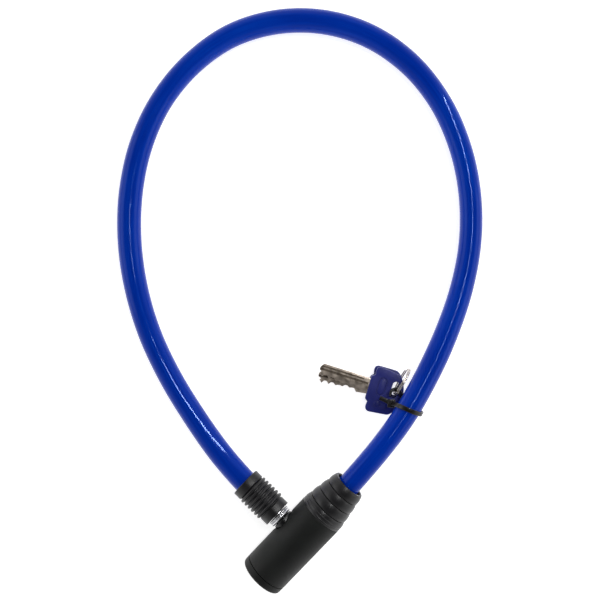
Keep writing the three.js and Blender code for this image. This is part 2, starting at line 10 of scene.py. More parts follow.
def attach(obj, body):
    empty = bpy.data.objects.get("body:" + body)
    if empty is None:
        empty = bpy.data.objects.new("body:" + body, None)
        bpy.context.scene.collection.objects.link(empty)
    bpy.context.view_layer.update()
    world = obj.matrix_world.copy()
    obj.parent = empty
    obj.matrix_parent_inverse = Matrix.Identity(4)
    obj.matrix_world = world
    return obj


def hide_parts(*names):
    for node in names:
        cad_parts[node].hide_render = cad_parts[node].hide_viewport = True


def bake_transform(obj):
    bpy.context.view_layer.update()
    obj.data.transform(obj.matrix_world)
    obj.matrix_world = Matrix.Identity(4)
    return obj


# A keyed bicycle cable lock: PVC-sleeved steel cable, black lock body, plug end, keys on a split ring.
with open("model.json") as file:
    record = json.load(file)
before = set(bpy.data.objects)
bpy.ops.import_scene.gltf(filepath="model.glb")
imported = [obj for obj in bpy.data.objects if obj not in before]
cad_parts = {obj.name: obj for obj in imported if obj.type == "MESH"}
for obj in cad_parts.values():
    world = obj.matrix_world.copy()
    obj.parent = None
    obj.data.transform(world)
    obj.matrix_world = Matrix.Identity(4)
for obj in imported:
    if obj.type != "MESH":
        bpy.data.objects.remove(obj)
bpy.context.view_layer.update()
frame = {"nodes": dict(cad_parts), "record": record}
print("frame loaded")

mm = 0.001
joints = {joint["name"]: joint for joint in frame["record"]["behaviour"]["joints"]}


def frameFrom(origin, alongX, alongY):
    x, y = Vector(alongX).normalized(), Vector(alongY).normalized()
    z = x.cross(y).normalized()
    turn = Matrix((x, z.cross(x), z)).transposed()
    return Matrix.Translation(origin) @ turn.to_4x4()


# The lock head's own frame: origin where the bolt crosses the body, X to the boot, Y to the plug.
crossing = Vector(joints["cylinder_turn"]["pos_m"])
headFrame = frameFrom(crossing, -Vector(joints["cylinder_turn"]["axis"]), joints["plug_slide"]["axis"])


def headPoint(x, y=0.0, z=0.0):
    return headFrame @ (Vector((x, y, z)) * mm)


# ---- camera: straight above the loop, at hand-held height
camera = {"height": 526, "besideX": 1.1, "besideY": 115.35, "frameWidth": 303, "planeHeight": 6}


def makeCamera():
    lens = bpy.data.cameras.new("topCamera")
    lens.sensor_width = 36
    lens.lens = 36 * (camera["height"] - camera["planeHeight"]) / camera["frameWidth"]
    lens.clip_start = 0.02
    view = bpy.data.objects.new("topCamera", lens)
    view.location = Vector((camera["besideX"], camera["besideY"], camera["height"])) * mm
    bpy.context.scene.collection.objects.link(view)
    bpy.context.scene.camera = view


makeCamera()


# ---- small tools
def hexColour(code):
    parts = [int(code[i:i + 2], 16) / 255 for i in (1, 3, 5)]
    linear = [p / 12.92 if p <= 0.04045 else ((p + 0.055) / 1.055) ** 2.4 for p in parts]
    return (*linear, 1.0)


def addNode(tree, kind, settings=None, inputs=None):
    node = tree.nodes.new(kind)
    for name, value in (settings or {}).items():
        setattr(node, name, value)
    for name, value in (inputs or {}).items():
        socket = node.inputs[name]
        if isinstance(value, bpy.types.NodeSocket):
            tree.links.new(value, socket)
        else:
            socket.default_value = value
    return node


def newMaterial(name, shader):
    material = bpy.data.materials.new(name)
    material.use_nodes = True
    tree = material.node_tree
    tree.nodes.clear()
    surface = addNode(tree, "ShaderNodeBsdfPrincipled", inputs=shader)
    addNode(tree, "ShaderNodeOutputMaterial", inputs={"Surface": surface.outputs["BSDF"]})
    return material, tree, surface


def link(tree, source, surface, name):
    tree.links.new(source, surface.inputs[name])


def colourSteps(tree, factor, stops):
    ramp = addNode(tree, "ShaderNodeValToRGB", inputs={"Fac": factor})
    ramp.color_ramp.elements[0].position, ramp.color_ramp.elements[0].color = stops[0]
    ramp.color_ramp.elements[1].position, ramp.color_ramp.elements[1].color = stops[-1]
    for position, colour in stops[1:-1]:
        ramp.color_ramp.elements.new(position).color = colour
    return ramp.outputs["Color"]


def greySteps(tree, factor, stops):
    return colourSteps(tree, factor, [(at, (v, v, v, 1)) for at, v in stops])


def patternPlace(tree, size=(1, 1, 1), source="Object"):
    coordinates = addNode(tree, "ShaderNodeTexCoord")
    return addNode(tree, "ShaderNodeMapping", inputs={
        "Vector": coordinates.outputs[source], "Scale": size}).outputs["Vector"]


def perMetre(size):  # how often a detail of that many millimetres repeats in a metre
    return 1000 / size


def newObject(name, mesh, material):
    piece = bpy.data.objects.new(name, mesh)
    bpy.context.scene.collection.objects.link(piece)
    mesh.materials.clear()
    mesh.materials.append(material)
    return piece


def finishMesh(mesh, angle=35):
    mesh.shade_smooth()
    mesh.set_sharp_from_angle(angle=math.radians(angle))
    return mesh


def roundCorners(points, size, steps=4, closed=True):
    rounded = []
    count = len(points)
    for i, point in enumerate(points):
        here = np.array(point, float)
        if not closed and i in (0, count - 1):
            rounded.append(tuple(here))
            continue
        before, after = np.array(points[i - 1], float), np.array(points[(i + 1) % count], float)
        toBefore, toAfter = before - here, after - here
        a = here + toBefore * min(size / np.linalg.norm(toBefore), 0.45)
        b = here + toAfter * min(size / np.linalg.norm(toAfter), 0.45)
        for k in range(steps + 1):
            t = k / steps
            rounded.append(tuple((1 - t) ** 2 * a + 2 * t * (1 - t) * here + t ** 2 * b))
    return rounded


# Turns a [radius, station] outline about X or Y of a frame. A closed outline makes a tube.
def turnedMesh(name, outline, about, place=headFrame, sides=128, closed=True):
    shape = bmesh.new()
    rings = []
    for radius, station in outline:
        if radius < 1e-6:
            ring = [shape.verts.new((station, 0, 0))]
        else:
            angles = [2 * math.pi * k / sides for k in range(sides)]
            ring = [shape.verts.new((station, radius * math.cos(a), radius * math.sin(a))) for a in angles]
        rings.append(ring)
    pairs = list(zip(rings, rings[1:] + rings[:1])) if closed else list(zip(rings, rings[1:]))
    for first, second in pairs:
        for k in range(sides):
            corners = [first[k % len(first)], first[(k + 1) % len(first)]]
            corners += [second[(k + 1) % len(second)], second[k % len(second)]]
            unique = list(dict.fromkeys(corners))
            if len(unique) > 2:
                shape.faces.new(unique)
    if about == "Y":
        bmesh.ops.rotate(shape, verts=shape.verts, matrix=Matrix.Rotation(math.pi / 2, 3, "Z"))
    bmesh.ops.scale(shape, verts=shape.verts, vec=(mm, mm, mm))
    shape.transform(place)
    bmesh.ops.recalc_face_normals(shape, faces=shape.faces)
    mesh = bpy.data.meshes.new(name)
    shape.to_mesh(mesh)
    shape.free()
    return mesh


# A block from a flat outline, with its edges rounded.
def plateMesh(name, outline, low, high, place, bevel=0.0, segments=3):
    shape = bmesh.new()
    ring = [shape.verts.new((x, y, low)) for x, y in outline]
    face = shape.faces.new(ring)
    top = bmesh.ops.extrude_face_region(shape, geom=[face])
    lifted = [v for v in top["geom"] if isinstance(v, bmesh.types.BMVert)]
    bmesh.ops.translate(shape, verts=lifted, vec=(0, 0, high - low))
    bmesh.ops.recalc_face_normals(shape, faces=shape.faces)
    if bevel:
        rims = [e for e in shape.edges if e.calc_face_angle(0) > math.radians(50)]
        bmesh.ops.bevel(shape, geom=rims, offset=bevel, segments=segments, profile=0.5, affect="EDGES")
    bmesh.ops.scale(shape, verts=shape.verts, vec=(mm, mm, mm))
    shape.transform(place)
    mesh = bpy.data.meshes.new(name)
    shape.to_mesh(mesh)
    shape.free()
    return mesh


def blockMesh(name, xs, ys, zs, place, bevel=0.0, segments=3):
    outline = [(xs[0], ys[0]), (xs[1], ys[0]), (xs[1], ys[1]), (xs[0], ys[1])]
    return plateMesh(name, outline, zs[0], zs[1], place, bevel, segments=segments)


def combine(piece, others, operation):
    for other in others:
        if not other.data.materials:
            other.data.materials.append(piece.data.materials[0])
        modifier = piece.modifiers.new("combine", "BOOLEAN")
        modifier.operation, modifier.solver, modifier.object = operation, "MANIFOLD", other
        modifier.material_mode = "TRANSFER"
    bpy.context.view_layer.update()
    result = bpy.data.meshes.new_from_object(piece.evaluated_get(bpy.context.evaluated_depsgraph_get()))
    piece.modifiers.clear()
    old = piece.data
    result.name = old.name
    piece.data = result
    for other in others:
        bpy.data.objects.remove(other)
    return piece


def toolPiece(mesh, material=None):
    piece = bpy.data.objects.new("tool", mesh)
    if material:
        mesh.materials.append(material)
    bpy.context.scene.collection.objects.link(piece)
    return piece


# ---- materials
# Plasticised PVC, extruded over the rope: deep, glossy, with faint lines drawn along it by the die.
def bluePvcMaterial():
    material, tree, surface = newMaterial("extrudedBluePvc", {
        "Roughness": 0.08, "IOR": 1.45, "Specular IOR Level": 0.4, "Specular Tint": hexColour("#8fa8e2"),
    })
    along = patternPlace(tree, (0.9, 0.035, 1), "UV")  # UV is in millimetres round and along
    lines = addNode(tree, "ShaderNodeTexNoise", inputs={"Vector": along, "Scale": 1.0, "Detail": 5.0})
    cloud = addNode(tree, "ShaderNodeTexNoise", inputs={
        "Vector": patternPlace(tree), "Scale": perMetre(38), "Detail": 3.0})
    both = addNode(tree, "ShaderNodeMix", {"data_type": "FLOAT"}, {
        "Factor": 0.45, "A": lines.outputs["Fac"], "B": cloud.outputs["Fac"]})
    link(tree, colourSteps(tree, both.outputs[0], [
        (0.30, hexColour("#002690")), (0.5, hexColour("#002e9e")), (0.70, hexColour("#0038aa")),
    ]), surface, "Base Color")
    grain = addNode(tree, "ShaderNodeTexNoise", inputs={
        "Vector": patternPlace(tree), "Scale": perMetre(0.8), "Detail": 2.0})
    link(tree, greySteps(tree, cloud.outputs["Fac"], [(0.3, 0.04), (0.7, 0.09)]), surface, "Roughness")
    waves = addNode(tree, "ShaderNodeBump", inputs={
        "Strength": 0.02, "Distance": 0.0003, "Height": lines.outputs["Fac"]})
    fine = addNode(tree, "ShaderNodeBump", inputs={
        "Strength": 0.006, "Distance": 0.0001, "Height": grain.outputs["Fac"],
        "Normal": waves.outputs["Normal"]})
    link(tree, fine.outputs["Normal"], surface, "Normal")
    return material


# Moulded plastics: one tone that drifts slightly with handling, and the fine even grain of the tool.
def mouldedMaterial(name, base, worn, roughness, grainSize, depth, gloss=0.4):
    material, tree, surface = newMaterial(name, {"IOR": 1.53, "Specular IOR Level": gloss})
    grain = addNode(tree, "ShaderNodeTexNoise", inputs={
        "Vector": patternPlace(tree), "Scale": perMetre(grainSize), "Detail": 4.0, "Roughness": 0.6})
    cloud = addNode(tree, "ShaderNodeTexNoise", inputs={
        "Vector": patternPlace(tree), "Scale": perMetre(9), "Detail": 4.0})
    link(tree, colourSteps(tree, cloud.outputs["Fac"], [
        (0.32, hexColour(base)), (0.68, hexColour(worn))]), surface, "Base Color")
    link(tree, greySteps(tree, cloud.outputs["Fac"], [
        (0.3, roughness - 0.06), (0.7, roughness + 0.07)]), surface, "Roughness")
    bump = addNode(tree, "ShaderNodeBump", inputs={
        "Strength": depth, "Distance": 0.0001, "Height": grain.outputs["Fac"]})
    link(tree, bump.outputs["Normal"], surface, "Normal")
    return material


# Metals share one recipe: a base tone, streaks from how it was worked, and small handling marks.
def metalMaterial(name, bright, dull, roughness, streak, scratchDepth):
    material, tree, surface = newMaterial(name, {"Metallic": 1.0})
    streaks = addNode(tree, "ShaderNodeTexNoise", inputs={
        "Vector": patternPlace(tree, streak), "Scale": 1.0, "Detail": 6.0, "Roughness": 0.65})
    marks = addNode(tree, "ShaderNodeTexNoise", inputs={
        "Vector": patternPlace(tree), "Scale": perMetre(2.5), "Detail": 5.0})
    link(tree, colourSteps(tree, marks.outputs["Fac"], [
        (0.35, hexColour(dull)), (0.65, hexColour(bright))]), surface, "Base Color")
    link(tree, greySteps(tree, marks.outputs["Fac"], [
        (0.3, roughness * 0.75), (0.7, roughness * 1.35)]), surface, "Roughness")
    bump = addNode(tree, "ShaderNodeBump", inputs={
        "Strength": scratchDepth, "Distance": 0.0001, "Height": streaks.outputs["Fac"]})
    link(tree, bump.outputs["Normal"], surface, "Normal")
    return material


bluePvc = bluePvcMaterial()
# matt black from a spark-eroded tool, softer black with a sheen, deep navy, oily black strap, polished black
blackAbs = mouldedMaterial("mouldedBlackAbs", "#090b0a", "#0e110f", 0.54, 0.35, 0.16, 0.24)
blackVinyl = mouldedMaterial("mouldedSoftVinyl", "#0f0f11", "#151417", 0.36, 0.5, 0.04)
navyAbs = mouldedMaterial("mouldedNavyAbs", "#171e66", "#1f2678", 0.36, 0.4, 0.06)
blackNylon = mouldedMaterial("mouldedBlackNylon", "#0b0a09", "#151312", 0.28, 0.6, 0.05)
glossyAbs = mouldedMaterial("polishedBlackAbs", "#08090a", "#0d0e10", 0.22, 0.6, 0.02)
# bright plate, worn key metal and painted shade in its grooves, yellowish wire, then the parts inside
chromePlate = metalMaterial("chromiumPlate", "#e4e4e6", "#d2d2d6", 0.22, (300, 300, 300), 0.002)
nickelSilver = metalMaterial("milledNickelSilver", "#d6c8ba", "#b3a698", 0.36, (900, 2500, 900), 0.03)
# a darker, duller nickel silver: painted shade for the key grooves
grooveShadeNickelSilver = metalMaterial("nickelSilverPaintedGrooveShade", "#857a6d", "#655c52", 0.5, (900, 2500, 900), 0.03)
nickelPlate = metalMaterial("nickelPlatedWire", "#d8d0c6", "#bdb3a4", 0.26, (1200, 1200, 1200), 0.004)
zincAlloy = metalMaterial("dieCastZinc", "#9a9ca0", "#75777b", 0.48, (1500, 1500, 1500), 0.35)
turnedBrass = metalMaterial("turnedBrass", "#c9a15a", "#94713a", 0.28, (400, 2500, 2500), 0.20)
plainSteel = metalMaterial("drawnSteel", "#a9abae", "#808286", 0.30, (2500, 600, 600), 0.15)
print("materials made")

# ---- cable: route points in millimetres, the same as the solid's
looseRoute = [
    (40.3, 42.4, 21.3), (52.6, 58.5, 18.6), (64.2, 78.0, 14.8), (74.4, 99.1, 11.1),
    (82.5, 121.9, 8.3), (87.0, 145.8, 6.6), (86.7, 170.0, 6.1), (81.6, 193.6, 6.05),
    (71.6, 215.7, 6.05), (56.5, 234.5, 6.05), (36.6, 248.4, 6.05), (13.6, 255.6, 6.05),
    (-10.6, 255.7, 6.05), (-33.7, 248.7, 6.05), (-53.4, 234.7, 6.05), (-68.8, 216.0, 6.05),
    (-79.0, 194.1, 6.05), (-84.2, 170.5, 6.05), (-85.0, 146.3, 6.05), (-81.8, 122.3, 6.05),
    (-75.0, 99.1, 6.1), (-64.7, 77.1, 6.5), (-52.0, 56.5, 7.4), (-38.9, 38.4, 9.0),
]
cableLook = {
    "radius": 5.98, "bootRim": 36.25, "joinInBoot": 30, "insideBoot": 15.05,
    "plugExit": 38.15, "insidePlug": 29.35,
    "ropeRadius": 3.65, "ropeInsideBoot": 8.0, "ropeInsidePlug": 18.9,
    "sides": 56, "step": 1.2,
    # how wide the sleeve lies across the loop, from the boot to the plug: it is slightly oval
    "widths": [0.97, 0.97, 1.0, 1.02, 0.99, 0.96, 0.955, 0.95, 0.955, 1.0, 1.02, 1.03,
               1.01, 0.97, 0.96, 1.0, 1.02, 1.01, 0.985, 0.975, 0.985, 1.0, 1.0],
}


# Points a step apart on the smooth curve through the given ones.
def smoothRoute(points, step):
    points = [Vector(p) for p in points]
    ends = [points[0] * 2 - points[1]] + points + [points[-1] * 2 - points[-2]]
    dense = []
    for p0, p1, p2, p3 in zip(ends, ends[1:], ends[2:], ends[3:]):
        t1 = (p1 - p0).length ** 0.5
        t2 = t1 + (p2 - p1).length ** 0.5
        t3 = t2 + (p3 - p2).length ** 0.5
        for k in range(24):
            t = t1 + (t2 - t1) * k / 24
            a1 = p0 * ((t1 - t) / t1) + p1 * (t / t1)
            a2 = p1 * ((t2 - t) / (t2 - t1)) + p2 * ((t - t1) / (t2 - t1))
            a3 = p2 * ((t3 - t) / (t3 - t2)) + p3 * ((t - t2) / (t3 - t2))
            b1 = a1 * ((t2 - t) / t2) + a2 * (t / t2)
            b2 = a2 * ((t3 - t) / (t3 - t1)) + a3 * ((t - t1) / (t3 - t1))
            dense.append(b1 * ((t2 - t) / (t2 - t1)) + b2 * ((t - t1) / (t2 - t1)))
    dense.append(points[-1])
    dense = np.array([tuple(p) for p in dense])
    lengths = np.concatenate([[0], np.cumsum(np.linalg.norm(np.diff(dense, axis=0), axis=1))])
    count = max(2, int(lengths[-1] / step))
    wanted = np.linspace(0, lengths[-1], count + 1)
    return np.stack([np.interp(wanted, lengths, dense[:, k]) for k in range(3)], axis=1), wanted


def cableRoute(insideBoot, insidePlug):
    rim, exitPlug = cableLook["bootRim"], cableLook["plugExit"]
    fromBoot = [headPoint(insideBoot), headPoint((insideBoot + rim) / 2), headPoint(rim)]
    toPlug = [headPoint(0, exitPlug), headPoint(0, exitPlug - 6), headPoint(0, insidePlug)]
    return fromBoot + [Vector(p) * mm for p in looseRoute] + toPlug


# A tube along a route. radii(share, angle) gives its size, so that a rope's strands can be cut into it.
def tubeMesh(name, route, radii, sides, step):
    points, lengths = smoothRoute(route, step * mm)
    count = len(points)
    tangents = np.gradient(points, axis=0)
    tangents /= np.linalg.norm(tangents, axis=1)[:, None]
    shape = bmesh.new()
    uvLayer = shape.loops.layers.uv.new("UVMap")
    rings = []
    for i in range(count):
        across = np.cross(tangents[i], (0, 0, 1))
        across /= np.linalg.norm(across)
        up = np.cross(across, tangents[i])
        ring = []
        for k in range(sides):
            angle = 2 * math.pi * k / sides - math.pi / 2  # the seam is underneath
            wide, high = radii(i / (count - 1), angle, lengths[i])
            place = points[i] + across * wide * math.cos(angle) * mm + up * high * math.sin(angle) * mm
            ring.append(shape.verts.new(place))
        rings.append(ring)
    girth = 2 * math.pi * radii(0.5, 0, 0)[0]
    for i in range(count - 1):
        for k in range(sides):
            after = (k + 1) % sides
            face = shape.faces.new((rings[i][k], rings[i][after], rings[i + 1][after], rings[i + 1][k]))
            rounds = (k, k + 1, k + 1, k)
            runs = (lengths[i], lengths[i], lengths[i + 1], lengths[i + 1])
            for loop, turn, run in zip(face.loops, rounds, runs):
                loop[uvLayer].uv = (turn / sides * girth, run / mm)
    shape.faces.new(rings[0])
    shape.faces.new(rings[-1])
    bmesh.ops.recalc_face_normals(shape, faces=shape.faces)
    mesh = bpy.data.meshes.new(name)
    shape.to_mesh(mesh)
    shape.free()
    return finishMesh(mesh, 60), points


def makeCable():
    widths = cableLook["widths"]
    places = np.linspace(0, 1, len(widths))

    def sleeveRadii(share, angle, run):
        wide = cableLook["radius"] * float(np.interp(share, places, widths))
        return wide, min(cableLook["radius"], cableLook["radius"] ** 2 / wide)

    def ropeRadii(share, angle, run):
        strand = abs(math.sin(3 * angle + run / mm * 0.14))  # six strands, laid in a slow spiral
        radius = cableLook["ropeRadius"] * (0.86 + 0.14 * strand)
        return radius, radius

    join = cableLook["joinInBoot"]
    sleeveRoute = cableRoute(join, cableLook["insidePlug"])
    sleeveMesh, path = tubeMesh("sleeve", sleeveRoute, sleeveRadii, cableLook["sides"], cableLook["step"])
    sleeve = newObject("cableSleeve", sleeveMesh, bluePvc)
    ropeRoute = cableRoute(join, cableLook["ropeInsidePlug"])
    ropeMesh = tubeMesh("rope", ropeRoute, ropeRadii, 24, 2.0)[0]
    rope = newObject("wireRope", ropeMesh, plainSteel)
    # the short lengths held in the boot stay with the lock body
    held = []
    for name, inner, radii, sides, finish in (
            ("sleeveInBoot", cableLook["insideBoot"], sleeveRadii, cableLook["sides"], bluePvc),
            ("ropeInBoot", cableLook["ropeInsideBoot"], ropeRadii, 24, plainSteel)):
        route = [headPoint(inner), headPoint((inner + join) / 2), headPoint(join - 0.1)]
        mesh = tubeMesh(name, route, lambda share, angle, run: radii(0, angle, run), sides, 1.5)[0]
        held.append(newObject(name, mesh, finish))
    return sleeve, rope, held, path


cableSleeve, wireRope, heldInBoot, cablePath = makeCable()
for piece, slotName in zip(heldInBoot, ("blue_pvc", "steel")):
    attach(piece, "lock_body")
for piece, node in ((cableSleeve, "cable_sleeve"), (wireRope, "cable_core")):
    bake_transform(piece)
    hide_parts(node)
print("cable laid")

# ---- lock body
bodyLook = {
    "radius": 11.7, "wall": 1.5, "capSeam": -25, "capLength": 4, "front": 15.35,
    "edge": 0.35, "socketRadius": 6.4, "socketFlare": 7.5, "noseHole": 5.1,
}


def makeBodyCover():
    r, inner = bodyLook["radius"], bodyLook["radius"] - bodyLook["wall"]
    back, front = bodyLook["capSeam"] + 0.15, bodyLook["front"]
    outline = roundCorners([(inner, back), (r, back), (r, front), (inner, front)], bodyLook["edge"])
    # many sides, so that the wall stays smooth beside the socket
    cover = newObject("bodyCover", turnedMesh("bodyCover", outline, "X", sides=160), blackAbs)
    hole, flare = bodyLook["socketRadius"], bodyLook["socketFlare"]
    bore = [(0, 1), (hole, 1), (hole, r - 1.6), (hole + 0.25, r - 0.9)]
    bore += [(flare, r + 0.6), (flare, r + 3), (0, r + 3)]
    socket = toolPiece(turnedMesh("socket", bore, "Y", sides=96, closed=False))
    combine(cover, [socket], "DIFFERENCE")
    finishMesh(cover.data, 30)
    return cover


def makeEndCap():
    r = bodyLook["radius"] - 0.05
    face, seam = bodyLook["capSeam"] - bodyLook["capLength"], bodyLook["capSeam"] - 0.15
    hole = bodyLook["noseHole"]
    rim = roundCorners([(r - 2.6, face), (r, face), (r, seam)], 1.7, steps=8, closed=False)
    outline = [(hole, face + 0.5), (hole + 0.5, face + 0.05), (hole + 1.1, face + 0.05), (hole + 1.3, face)]
    outline += rim + [(r - 0.2, seam), (9.85, seam), (9.85, seam + 3.1)]
    outline += [(9.1, seam + 3.1), (9.1, seam), (hole, seam)]
    cap = newObject("endCap", turnedMesh("endCap", outline, "X", sides=160), blackAbs)
    finishMesh(cap.data, 30)
    return cap


# Soft lobes, each a little smaller than the one behind it, with thin grooves between them and at the base.
bootLook = {
    "start": 15.45, "end": 36.25, "lobes": 4, "base": 11.62, "rim": 8.28, "bulge": 0.55, "bore": 6.3,
    "grooveDepth": 0.24, "grooveHalfWidth": 0.3, "baseGrooves": (1.5, 3.1),
}


def makeBoot():
    start, end, lobes = bootLook["start"], bootLook["end"], bootLook["lobes"]
    base, rim, length = bootLook["base"], bootLook["rim"], bootLook["end"] - bootLook["start"]
    grooves = [length * i / lobes for i in range(1, lobes)] + list(bootLook["baseGrooves"])
    outline = [(6.6, start - 3.1), (9.4, start - 3.1), (9.4, start), (base - 0.12, start)]
    steps = 180
    for k in range(1, steps):
        run = length * k / steps
        share = run / length
        bulge = bootLook["bulge"] * (abs(math.sin(math.pi * lobes * share)) ** 0.6 - 0.45)
        cone = base + (rim - base) * share ** 1.15
        near = min(abs(run - groove) for groove in grooves) / bootLook["grooveHalfWidth"]
        cut = bootLook["grooveDepth"] * max(0, 1 - near * near)
        outline.append((min(base, cone + bulge) - cut, start + run))
    outline += [(rim - 0.3, end - 0.08), (rim - 0.65, end), (7.15, end - 0.05), (6.95, end - 0.5)]
    outline += [(6.7, end - 3.2), (bootLook["bore"], end - 5), (bootLook["bore"], start), (6.6, start)]
    boot = newObject("cableBoot", turnedMesh("cableBoot", outline, "X", sides=144), blackVinyl)
    finishMesh(boot.data, 40)
    return boot


cylinderLook = {
    "radius": 5.3, "nose": 4.8, "step": -24.7, "back": -8.6, "keywayHalf": 4.15, "keywaySide": 1.05,
    "pinRadius": 0.8, "pinOffset": 2.5, "pinEnd": -6.5, "firstWafer": -23.1, "waferPitch": 2.7, "wafers": 5,
}


def makeKeyCylinder():
    look = cylinderLook
    face, half, side = bodyLook["capSeam"] - 3.6, look["keywayHalf"], look["keywaySide"]
    radius, nose, step, back = look["radius"], look["nose"], look["step"], look["back"]
    corners = [(0, face), (nose, face), (nose, step), (radius, step), (radius, back), (0, back)]
    outline = roundCorners(corners, 0.25, closed=False)
    mesh = turnedMesh("keyCylinder", outline, "X", sides=96, closed=False)
    cylinder = newObject("keyCylinder", mesh, turnedBrass)
    pinStart, pinEnd, pinRadius = back - 0.8, look["pinEnd"], look["pinRadius"]
    pinCorners = [(0, pinStart), (pinRadius, pinStart), (pinRadius, pinEnd), (0, pinEnd)]
    pinOutline = roundCorners(pinCorners, 0.2, closed=False)
    offset = look["pinOffset"] * math.sqrt(0.5) * mm
    pinPlace = headFrame @ Matrix.Translation((0, -offset, -offset))
    pin = toolPiece(turnedMesh("pin", pinOutline, "X", pinPlace, sides=32, closed=False))
    combine(cylinder, [pin], "UNION")
    keyway = (face - 1, back - 1)
    cuts = [
        blockMesh("keyway", keyway, (-side, side / 3), (-0.4, half), headFrame),
        blockMesh("keyway", keyway, (-side / 3, side), (-half, 0.4), headFrame),
    ]
    for i in range(look["wafers"]):
        station = look["firstWafer"] + look["waferPitch"] * i
        slot, pocket = (station - 0.7, station + 0.7), (station - 0.66, station + 0.66)
        cuts.append(blockMesh("slot", slot, (-2.3, 2.3), (-6.3, 6.3), headFrame))
        cuts.append(blockMesh("springPocket", pocket, (1.9, 3.9), (-3, 2.27), headFrame))
    combine(cylinder, [toolPiece(cut) for cut in cuts], "DIFFERENCE")
    finishMesh(cylinder.data, 30)
    return cylinder


bodyPieces = (
    (makeBodyCover(), "body_cover", "lock_body", "black_plastic"),
    (makeEndCap(), "end_cap", "lock_body", "black_plastic"),
    (makeBoot(), "cable_boot", "lock_body", "black_rubber"),
    (makeKeyCylinder(), "key_cylinder", "cylinder_group", "brass"),
)
print("lock body made")

# ---- plug end: bolt, bright rings and ribbed sleeve
plugLook = {
    "start": 15.55, "length": 22.6, "bore": 6.28, "nearCollar": 7.48, "farCollar": 7.86, "valley": 7.3,
    "ribs": 6, "ribPitch": 2.2, "ribRadius": 8.33, "ribsFrom": 4.7,
}


# Lays even ribs round a sleeve: rings on a line of points, made real and given the sleeve's material.
def ribTree(material):
    tree = bpy.data.node_groups.new("sleeveRibs", "GeometryNodeTree")
    face = tree.interface
    face.new_socket("Geometry", in_out="INPUT", socket_type="NodeSocketGeometry")
    face.new_socket("Rib count", in_out="INPUT", socket_type="NodeSocketInt")
    for name in ("First rib", "Rib pitch", "Rib centre radius", "Rib half width", "Rib half height"):
        face.new_socket(name, in_out="INPUT", socket_type="NodeSocketFloat")
    face.new_socket("Geometry", in_out="OUTPUT", socket_type="NodeSocketGeometry")
    given = addNode(tree, "NodeGroupInput").outputs
    first = addNode(tree, "ShaderNodeCombineXYZ", inputs={"Y": given["First rib"]})
    pitch = addNode(tree, "ShaderNodeCombineXYZ", inputs={"Y": given["Rib pitch"]})
    line = addNode(tree, "GeometryNodeMeshLine", {"mode": "OFFSET"}, {
        "Count": given["Rib count"], "Start Location": first.outputs[0], "Offset": pitch.outputs[0]})
    ring = addNode(tree, "GeometryNodeCurvePrimitiveCircle", inputs={
        "Resolution": 128, "Radius": given["Rib centre radius"]})
    section = addNode(tree, "GeometryNodeCurvePrimitiveCircle", inputs={"Resolution": 20, "Radius": 1.0})
    size = addNode(tree, "ShaderNodeCombineXYZ", inputs={
        "X": given["Rib half height"], "Y": given["Rib half width"], "Z": 1.0})
    oval = addNode(tree, "GeometryNodeTransform", inputs={
        "Geometry": section.outputs["Curve"], "Scale": size.outputs[0]})
    rib = addNode(tree, "GeometryNodeCurveToMesh", inputs={
        "Curve": ring.outputs["Curve"], "Profile Curve": oval.outputs["Geometry"]})
    turned = addNode(tree, "GeometryNodeTransform", inputs={
        "Geometry": rib.outputs["Mesh"], "Rotation": (math.pi / 2, 0, 0)})
    ribs = addNode(tree, "GeometryNodeInstanceOnPoints", inputs={
        "Points": line.outputs["Mesh"], "Instance": turned.outputs["Geometry"]})
    real = addNode(tree, "GeometryNodeRealizeInstances", inputs={"Geometry": ribs.outputs["Instances"]})
    joined = addNode(tree, "GeometryNodeJoinGeometry")
    tree.links.new(given["Geometry"], joined.inputs["Geometry"])
    tree.links.new(real.outputs["Geometry"], joined.inputs["Geometry"])
    painted = addNode(tree, "GeometryNodeSetMaterial", inputs={
        "Geometry": joined.outputs["Geometry"], "Material": material})
    smooth = addNode(tree, "GeometryNodeSetShadeSmooth", inputs={"Geometry": painted.outputs["Geometry"]})
    out = addNode(tree, "NodeGroupOutput")
    tree.links.new(smooth.outputs["Geometry"], out.inputs["Geometry"])
    return tree


def growRibs(piece, tree, sizes):
    modifier = piece.modifiers.new("ribs", "NODES")
    modifier.node_group = tree
    for item in tree.interface.items_tree:
        if item.in_out == "INPUT" and item.name in sizes:
            modifier[item.identifier] = sizes[item.name]
    bpy.context.view_layer.update()
    mesh = bpy.data.meshes.new_from_object(piece.evaluated_get(bpy.context.evaluated_depsgraph_get()))
    piece.modifiers.clear()
    piece.data = mesh
    return piece


def makePlugSleeve():
    start, end = plugLook["start"], plugLook["start"] + plugLook["length"]
    ribsFrom = start + plugLook["ribsFrom"]
    ribsTo = ribsFrom + plugLook["ribs"] * plugLook["ribPitch"]
    near, far = plugLook["nearCollar"], plugLook["farCollar"]
    valley, bore = plugLook["valley"], plugLook["bore"]
    corners = [
        (4.75, start), (near, start), (near, ribsFrom - 0.45), (valley - 0.2, ribsFrom - 0.2),
        (valley - 0.2, ribsTo + 0.1), (far, ribsTo + 0.45), (far, end), (bore, end),
        (bore, start + 1), (4.75, start + 1),
    ]
    outline = roundCorners(corners, 0.35, steps=5)
    plain = Matrix.Identity(4)
    sleeve = newObject("plugSleeve", turnedMesh("plugSleeve", outline, "Y", plain, sides=128), blackVinyl)
    half = plugLook["ribPitch"] / 2 - 0.22
    growRibs(sleeve, ribTree(blackVinyl), {
        "Rib count": plugLook["ribs"], "First rib": (ribsFrom + plugLook["ribPitch"] / 2) * mm,
        "Rib pitch": plugLook["ribPitch"] * mm, "Rib centre radius": (valley - 0.1) * mm,
        "Rib half width": half * mm, "Rib half height": (plugLook["ribRadius"] - valley + 0.1) * mm,
    })
    sleeve.data.transform(headFrame)
    finishMesh(sleeve.data, 40)
    return sleeve


